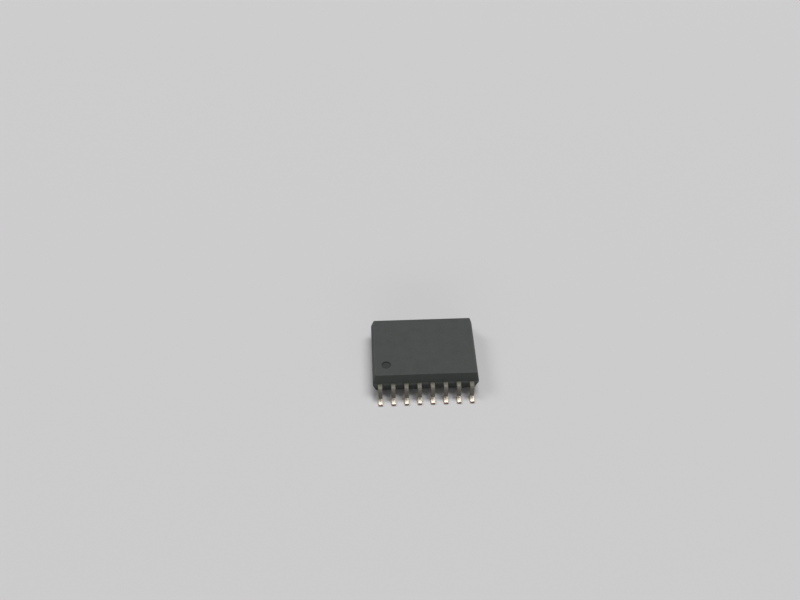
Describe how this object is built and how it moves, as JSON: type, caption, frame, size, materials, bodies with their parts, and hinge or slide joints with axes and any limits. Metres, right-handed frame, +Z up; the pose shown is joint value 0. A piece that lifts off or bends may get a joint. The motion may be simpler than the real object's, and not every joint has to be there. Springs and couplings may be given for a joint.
{
  "type": "digital isolator",
  "caption": "Black moulded wide small-outline isolator chip package with bent leads along both long sides and a round pin-one recess, for soldering flat on a circuit board.",
  "frame": {"origin": "on the seating plane of the lead feet, under the middle of the moulded body", "axes": "+X along the rows of leads from lead 1 to lead 8, +Y across from the row of leads 1 to 8 to the row of leads 9 to 16, +Z up out of the board"},
  "size_m": [0.0104, 0.0106, 0.0026],
  "materials": {
    "mould_compound": "black silica-filled epoxy, spark-eroded matte",
    "lead_frame": "copper strip plated with matte tin, bare copper at the cut toes",
    "chip_glue": "silver-filled epoxy, cured",
    "silicon": "polished silicon with a passivated top",
    "bond_wire": "drawn gold"
  },
  "bodies": {
    "root": {"mould_body": "mould_compound", "paddle_side_1": "lead_frame", "paddle_side_2": "lead_frame", "lead_01": "lead_frame", "lead_03": "lead_frame", "lead_04": "lead_frame", "lead_05": "lead_frame", "lead_06": "lead_frame", "lead_07": "lead_frame", "lead_16": "lead_frame", "lead_14": "lead_frame", "lead_13": "lead_frame", "lead_12": "lead_frame", "lead_11": "lead_frame", "lead_10": "lead_frame", "chip_glue_side_1": "chip_glue", "chip_glue_side_2": "chip_glue", "chip_side_1": "silicon", "chip_side_2": "silicon", "lead_wire_01": "bond_wire", "lead_wire_02": "bond_wire", "lead_wire_03": "bond_wire", "lead_wire_04": "bond_wire", "lead_wire_05": "bond_wire", "lead_wire_06": "bond_wire", "lead_wire_07": "bond_wire", "lead_wire_08": "bond_wire", "lead_wire_16": "bond_wire", "lead_wire_15": "bond_wire", "lead_wire_14": "bond_wire", "lead_wire_13": "bond_wire", "lead_wire_12": "bond_wire", "lead_wire_11": "bond_wire", "lead_wire_10": "bond_wire", "lead_wire_09": "bond_wire", "gap_wire_1": "bond_wire", "gap_wire_2": "bond_wire", "gap_wire_3": "bond_wire", "gap_wire_4": "bond_wire", "gap_wire_5": "bond_wire", "gap_wire_6": "bond_wire", "gap_wire_7": "bond_wire", "gap_wire_8": "bond_wire"}
  },
  "joints": []
}
